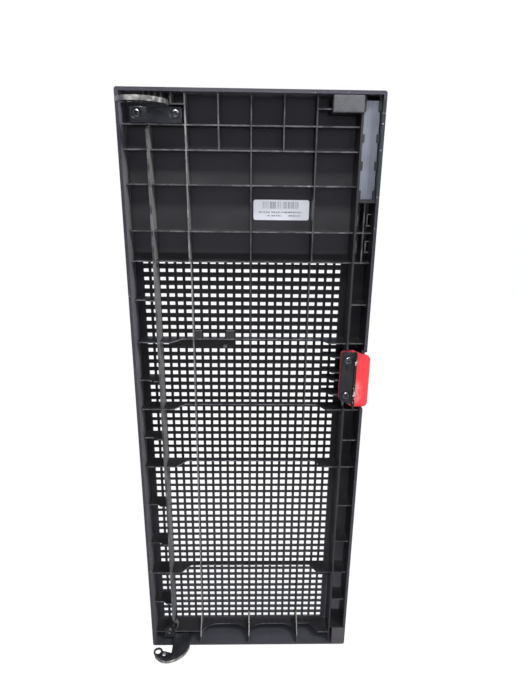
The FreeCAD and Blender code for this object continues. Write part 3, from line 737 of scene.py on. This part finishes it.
# %% Screw form
def lathe(profile, steps):
    """A closed shape from a profile of radius and height that starts and ends on the axis."""
    shape = bmesh.new()
    rings = []
    for radius, height in profile:
        count = steps if radius > 0 else 1
        turns = [2 * math.pi * i / steps for i in range(count)]
        ring = [shape.verts.new((radius * math.cos(a), radius * math.sin(a), height)) for a in turns]
        rings.append(ring)
    for first, second in zip(rings, rings[1:]):
        for i in range(steps):
            j = (i + 1) % steps
            corners = [first[k % len(first)] for k in (i, j)] + [second[k % len(second)] for k in (j, i)]
            shape.faces.new(list(dict.fromkeys(corners)))
    bmesh.ops.recalc_face_normals(shape, faces=shape.faces)
    return shape


def cross_plug(reach, width, top, depth, taper=0.5):
    """The plug that cuts a cross recess: a plus sign that narrows as it goes down."""
    half = width / 2
    arm = [(reach, -half), (reach, half), (half, half)]
    outline = []
    for quarter in range(4):
        c, s = (1, 0, -1, 0)[quarter], (0, 1, 0, -1)[quarter]
        outline += [(x * c - y * s, x * s + y * c) for x, y in arm]
    shape = bmesh.new()
    upper = [shape.verts.new((x, y, top)) for x, y in outline]
    lower = [shape.verts.new((x * taper, y * taper, top - depth)) for x, y in outline]
    shape.faces.new(upper)
    shape.faces.new(lower[::-1])
    for i in range(len(outline)):
        j = (i + 1) % len(outline)
        shape.faces.new([upper[i], lower[i], lower[j], upper[j]])
    bmesh.ops.recalc_face_normals(shape, faces=shape.faces)
    return shape


def as_object(shape, name):
    """A bmesh as a loose object in the scene."""
    made = bpy.data.objects.new(name, bare_mesh(name, shape))
    scene.collection.objects.link(made)
    return made


print("screw form ready")

# %% Cut the recess
thread_depth = 0.18 * mm
thread_pitch = 0.9 * mm
screw_steps = 28
crown_steps = 8
head_side, head_dome = 0.34, 0.66
crown_flat, crown_round = 0.45, 0.55
recess_reach = 0.62
recess_width = 0.30
recess_depth = 0.9
plug_height = 1.2


def screw_object(head_radius, head_height, length, shank):
    """A pan-head screw with its seat at height 0. The shares above are of its head's radius and height."""
    profile = [(0.0, -length)]
    turns = int(length / thread_pitch)
    for i in range(turns):
        low = -length + i * thread_pitch
        profile += [(shank - thread_depth, low), (shank, low + thread_pitch / 2)]
    profile += [(shank - thread_depth, 0.0), (head_radius, 0.0), (head_radius, head_side * head_height)]
    for i in range(1, crown_steps):
        angle = math.pi / 2 * i / crown_steps
        rise = head_side + head_dome * math.sin(angle)
        reach = crown_flat + crown_round * math.cos(angle)
        profile.append((head_radius * reach, rise * head_height))
    profile += [(crown_flat * head_radius, head_height), (0.0, head_height)]
    blank = as_object(lathe(profile, screw_steps), "screw_blank")
    arms = (recess_reach * head_radius, recess_width * head_radius)
    plug = as_object(cross_plug(*arms, plug_height * head_height, recess_depth * head_height), "plug")
    cut = blank.modifiers.new("recess", "BOOLEAN")
    cut.operation = "DIFFERENCE"
    cut.solver = "EXACT"
    cut.object = plug
    result = bpy.data.meshes.new_from_object(blank.evaluated_get(bpy.context.evaluated_depsgraph_get()))
    for spare in (blank, plug):
        bpy.data.objects.remove(spare)
    made = bpy.data.objects.new("screw_pattern", result)
    scene.collection.objects.link(made)
    return made


print("screw cutter ready")

# %% Screw tree
screw_tree, given = geometry_tree("screws on seats", counts=("Seed",), objects=("Screw",))
pattern = place(screw_tree, "GeometryNodeObjectInfo", {"Object": given["Screw"]})
quarter_turn = {"Max": (0.0, 0.0, math.pi / 2), "Seed": given["Seed"]}
spin = place(screw_tree, "FunctionNodeRandomValue", quarter_turn, data_type="FLOAT_VECTOR")
lay = place(screw_tree, "FunctionNodeEulerToRotation", {0: (math.pi / 2, 0.0, 0.0)})
turns = {"Rotation": lay, "Rotate By": place(screw_tree, "FunctionNodeEulerToRotation", {0: spin})}
turned = place(screw_tree, "FunctionNodeRotateRotation", turns, rotation_space="LOCAL")
seating = {"Points": given["Geometry"], "Instance": pattern.outputs["Geometry"], "Rotation": turned}
end_tree(screw_tree, place(screw_tree, "GeometryNodeInstanceOnPoints", seating), given)
print("screw tree:", len(screw_tree.nodes), "nodes")


# %% Screws on their seats
def islands(node):
    """The box of each separate solid of a CAD node, from the lowest up and then from left to right."""
    shape = bmesh.new()
    shape.from_mesh(nodes[node].data)
    bmesh.ops.remove_doubles(shape, verts=shape.verts, dist=mm / 1000)
    left = set(shape.verts)
    boxes = []
    while left:
        edge = [left.pop()]
        points = []
        while edge:
            vert = edge.pop()
            points.append(vert.co.copy())
            for link in vert.link_edges:
                other = link.other_vert(vert)
                if other in left:
                    left.discard(other)
                    edge.append(other)
        low = Vector([min(p[i] for p in points) for i in range(3)])
        high = Vector([max(p[i] for p in points) for i in range(3)])
        boxes.append((low, high))
    shape.free()
    return sorted(boxes, key=lambda box: (round(box[0].z / mm, 3), box[0].x))


def screw_black():
    material, tree, coords, shader = new_material("screw_black", Metallic=0.85)
    mottle = cloud(tree, coords, 700.0)
    oxide = tint(tree, mottle, (0.06, 0.06, 0.065, 1), (0.16, 0.16, 0.17, 1))
    tree.links.new(oxide, shader.inputs["Base Color"])
    tree.links.new(rescale(tree, mottle, 0.3, 0.7, 0.18, 0.32), shader.inputs["Roughness"])
    return material


oxide_black = screw_black()
shank_radius = 1.4 * mm
head_heights = {"hinge_screws": 1.6 * mm, "latch_screws": 2.0 * mm}
for seed, (node, head_height) in enumerate(head_heights.items()):
    boxes = islands(node)
    low, high = boxes[0]
    head_radius = (high.x - low.x) / 2
    screw = screw_object(head_radius, head_height, high.y - low.y - head_height, shank_radius)
    seats = [((a.x + b.x) / 2, a.y + head_height, (a.z + b.z) / 2) for a, b in boxes]
    mesh = grow(screw_tree, seats, Material=oxide_black, Screw=screw, Seed=seed)
    bpy.data.objects.remove(screw)
    add_piece(joined_mesh("pan_head_" + node, [mesh]), oxide_black, "door", "screw_black", node)

# %% [markdown]
# ## The grey strip
# A flat grey strip lies in the channel at the top of the free edge, under small tabs. It is a soft
# cushioning strip with a faint lengthwise grain, so the grain noise is stretched along its length.

# %% Trim strip
strip_greys = ((0.158, 0.170, 0.208, 1), (0.240, 0.258, 0.308, 1))


def strip_grey():
    material, tree, coords, shader = new_material("strip_grey", Roughness=0.8, IOR=1.3)
    grain = cloud(tree, stretched(tree, coords, 700.0, 700.0, 25.0), 1.0)
    patches = cloud(tree, coords, 60.0)
    shade = calc(tree, "MULTIPLY", calc(tree, "ADD", grain, patches), 0.5)
    tree.links.new(tint(tree, rescale(tree, shade, 0.35, 0.65), *strip_greys), shader.inputs["Base Color"])
    emboss(tree, shader, grain, 0.03 * mm, 0.5)
    return material


add_piece(softened("trim_strip", "edge_strip", 0.25 * mm), strip_grey(), "door", "strip_grey", "trim_strip")

# %% [markdown]
# ## Foam pads
# Two pads of closed-cell foam keep the shut door from rattling. A foam pad is die-cut, so its outline is
# square, but its top is crowned, its edges are pulled in by the cutter and its skin is full of cells.
# A block is divided into small squares, its points are drawn towards a rounded box, and noise makes the
# cells. A cloth simulation would suit a stuffed pad better than this stiff, thin foam.

# %% Foam form
foam_cell = 0.55 * mm
foam_round = 0.7 * mm
foam_crown = 0.25 * mm
foam_grain = 0.12 * mm


def foam_block(name, low, high):
    """A die-cut foam block inside a box, flat on its seat and crowned on the side that faces the rear."""
    size = high - low
    middle = (low + high) / 2
    counts = [max(4, round(s / foam_cell)) for s in size]
    shape = bmesh.new()
    corners = {}

    def corner(*key):
        if key not in corners:
            corners[key] = shape.verts.new([low[a] + size[a] * key[a] / counts[a] for a in range(3)])
        return corners[key]

    for axis in range(3):
        u, v = (axis + 1) % 3, (axis + 2) % 3
        for level in (0, counts[axis]):
            for a in range(counts[u]):
                for b in range(counts[v]):
                    ring = []
                    for da, db in ((0, 0), (1, 0), (1, 1), (0, 1)):
                        key = [0, 0, 0]
                        key[axis], key[u], key[v] = level, a + da, b + db
                        ring.append(corner(*key))
                    shape.faces.new(ring)
    inner = [s / 2 - foam_round for s in size]
    for vert in shape.verts:
        offset = vert.co - middle
        core = Vector([max(-inner[a], min(inner[a], offset[a])) for a in range(3)])
        skin = offset - core
        if skin.length > 0:
            skin = skin.normalized() * foam_round
        across = (2 * offset.x / size.x) ** 2
        along = (2 * offset.z / size.z) ** 2
        rearward = max(0.0, -offset.y / (size.y / 2))
        cells = lattice.noise(vert.co / (1.3 * foam_cell)) * foam_grain
        shrink = skin.normalized() * (foam_grain - cells) if skin.length > 0 else Vector()
        vert.co = middle + core + skin - shrink
        vert.co.y += rearward * foam_crown * max(across, along)
    bmesh.ops.recalc_face_normals(shape, faces=shape.faces)
    return bare_mesh(name, shape)


print("foam form ready")


# %% Foam pads
def foam_grey(name, dark, light):
    material, tree, coords, shader = new_material(name, Roughness=0.9)
    cells = place(tree, "ShaderNodeTexVoronoi", {"Vector": coords, "Scale": 1700.0}).outputs["Distance"]
    dust = cloud(tree, coords, 240.0)
    shade = calc(tree, "MULTIPLY", calc(tree, "ADD", cells, dust), 0.6)
    tree.links.new(tint(tree, rescale(tree, shade, 0.3, 0.7), dark, light), shader.inputs["Base Color"])
    emboss(tree, shader, cells, 0.08 * mm, 0.8)
    return material


pad_colours = {
    "upper_foam_pad": ((0.050, 0.052, 0.057, 1), (0.100, 0.102, 0.110, 1)),
    "lower_foam_pad": ((0.042, 0.038, 0.040, 1), (0.085, 0.078, 0.082, 1)),
}
for node, (dark, light) in pad_colours.items():
    mesh = foam_block(node.replace("pad", "block"), *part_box(node))
    pad = add_piece(mesh, foam_grey(node + "_grey", dark, light), "door", "foam_grey", node, smooth=60.0)

# %% [markdown]
# ## The label
# A white paper label sits on the plain panel, with a block of stripes and two rows of grey bars. They are
# drawn by arithmetic on the label's own width and height, which keeps them sharp at any size.

# %% Label print
label_low, label_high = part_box("label")
stripe_count = 240
stripe_gaps = 0.45
stripe_ink = 0.65
stripe_block = (0.155, 0.81, 0.57, 0.91)
dash_count = 130
dash_gaps = 0.25
dash_ink = 0.8
dash_rows = ((0.095, 0.885, 0.355, 0.425), (0.245, 0.51, 0.185, 0.255), (0.63, 0.84, 0.185, 0.255))
ink_share = 0.9


def label_paper():
    material, tree, coords, shader = new_material("label_paper", Roughness=0.5)
    axes = place(tree, "ShaderNodeSeparateXYZ", {0: coords}).outputs
    across = rescale(tree, axes["X"], label_low.x, label_high.x)
    up = rescale(tree, axes["Z"], label_low.z, label_high.z)

    def inked(count, gaps):
        """Columns of equal width, of which this share, picked at random, stays white."""
        cell = calc(tree, "FLOOR", calc(tree, "MULTIPLY", across, count))
        drawn = place(tree, "ShaderNodeTexWhiteNoise", {"W": cell}, noise_dimensions="1D").outputs[0]
        return calc(tree, "GREATER_THAN", drawn, gaps)

    def inside(start, end, bottom, top):
        """A field of the label, in shares of its width and height."""
        return both(tree, between(tree, across, start, end, 0.002), between(tree, up, bottom, top, 0.01))

    stripes = both(tree, inside(*stripe_block), inked(stripe_count, stripe_gaps))
    ink = calc(tree, "MULTIPLY", stripes, stripe_ink)
    dashes = calc(tree, "MULTIPLY", inked(dash_count, dash_gaps), dash_ink)
    for field in dash_rows:
        ink = calc(tree, "MAXIMUM", ink, both(tree, inside(*field), dashes))
    paper = tint(tree, cloud(tree, coords, 900.0), (0.78, 0.80, 0.86, 1), (0.86, 0.87, 0.92, 1))
    printed = tint(tree, calc(tree, "MULTIPLY", ink, ink_share), paper, grey(0.06, 1.1))
    tree.links.new(printed, shader.inputs["Base Color"])
    return material


dress(nodes["label"], label_paper())
print("label dressed")

# %% [markdown]
# ## Floor and background
# The door stands on a plain white floor against white. The background is white where the camera looks at
# it. Reflections see white beyond the door and a dimmer room on the camera's side, and what lights the door
# is a much dimmer sky, or the black plastic would turn grey. The floor shows itself as white too, and keeps
# a share of real shading so that the door's shadow still falls on it.

# %% Floor
floor_size = 6.0
floor_gap = 0.05 * mm
floor_top = cad_box[0].z - floor_gap
glow_share = 0.85
glow_strength = 1.14
floor_shape = bmesh.new()
bmesh.ops.create_grid(floor_shape, x_segments=1, y_segments=1, size=floor_size)
bmesh.ops.translate(floor_shape, verts=floor_shape.verts, vec=(0, 0, floor_top))
studio_floor = as_object(floor_shape, "studio_floor")

floor_material, tree, _, shader = new_material("floor_white", Roughness=0.9, Base_Color=grey(0.86))
glow = place(tree, "ShaderNodeEmission", {"Color": (1, 1, 1, 1), "Strength": glow_strength})
path = place(tree, "ShaderNodeLightPath").outputs
seen = calc(tree, "MULTIPLY", path["Is Camera Ray"], glow_share)
shown = place(tree, "ShaderNodeMixShader", {0: seen, 1: shader.outputs[0], 2: glow})
tree.links.new(shown.outputs[0], tree.nodes["Material Output"].inputs["Surface"])
dress(studio_floor, floor_material)
print("floor at", round(floor_top / mm, 2), "mm")

# %% World
sky_low = 0.10
sky_high = 0.30
sky_colour = (0.82, 0.90, 1.14, 1)
room_reflection = 0.34
room_ends, white_starts = -0.2, 0.3
world = bpy.data.worlds.new("white_studio")
scene.world = world
world.use_nodes = True
tree = world.node_tree
path = place(tree, "ShaderNodeLightPath").outputs
direction = place(tree, "ShaderNodeTexCoord").outputs["Generated"]
aim = place(tree, "ShaderNodeSeparateXYZ", {0: direction}).outputs
backdrop = rescale(tree, aim["Y"], room_ends, white_starts, room_reflection, 1.0)
overhead = rescale(tree, aim["Z"], 0.0, 1.0, sky_low, sky_high)
mirrored = calc(tree, "MAXIMUM", path["Is Glossy Ray"], path["Is Transmission Ray"])
lighting = place(tree, "ShaderNodeMix", {0: mirrored, 2: overhead, 3: backdrop}).outputs[0]
strength = place(tree, "ShaderNodeMix", {0: path["Is Camera Ray"], 2: lighting, 3: 1.0}).outputs[0]
background = tree.nodes["Background"]
tree.links.new(tint(tree, path["Is Camera Ray"], sky_colour, grey(1.0)), background.inputs["Color"])
tree.links.new(strength, background.inputs["Strength"])
scene.view_settings.view_transform = "Standard"
print("sky", sky_low, "to", sky_high)

# %% [markdown]
# ## Light
# One small lamp, high on the right and close to the door, makes the wedges of shadow that each rib throws on
# the wall below it, and fades towards the bottom. A larger lamp behind the camera, which no reflection shows,
# lights the flats evenly, as a white room does. Black plastic also needs something to mirror: a small high
# window, which only reflections see, puts the soft haze on the lower part of each cell where the rib above
# does not hide it.


# %% Lamps
def lamp(name, across, back, up, side, watts):
    """A square lamp that looks at the middle of the door, placed from the door's lower left corner."""
    light = bpy.data.lights.new(name, "AREA")
    light.shape = "SQUARE"
    light.size = side
    light.energy = watts
    made = bpy.data.objects.new(name, light)
    scene.collection.objects.link(made)
    made.location = (door_low.x + across, floor_y - back, door_low.z + up)
    middle = (door_low + door_high) / 2
    made.rotation_euler = (middle - made.location).to_track_quat("-Z", "Y").to_euler()
    return made


lamp("key_lamp", across=0.40, back=0.24, up=0.77, side=0.14, watts=2.7)
room_lamp = lamp("room_lamp", across=0.09, back=1.50, up=0.50, side=0.40, watts=12.0)
room_lamp.visible_glossy = False
window = lamp("window", across=0.07, back=0.62, up=1.06, side=0.20, watts=25.0)
window.visible_diffuse = False
print("three lamps")

# %% [markdown]
# ## Camera
# The camera stands behind the door, level with its upper part, and looks slightly down. Its lens and place
# follow from matching the door's own corners and grille lines with the photograph.

# %% Camera
camera_across = 84.566 * mm
camera_back = 368.074 * mm
camera_up = 388.479 * mm
camera_turn = (71.7358, -0.6746, -1.1220)
camera_data = bpy.data.cameras.new("photo_camera")
camera_data.sensor_width = 36.0
camera_data.lens = 26.40
camera_data.clip_start = 0.01
camera = bpy.data.objects.new("photo_camera", camera_data)
scene.collection.objects.link(camera)
camera.location = (door_low.x + camera_across, floor_y - camera_back, door_low.z + camera_up)
camera.rotation_euler = [math.radians(a) for a in camera_turn]
scene.camera = camera
print("camera lens", camera_data.lens)
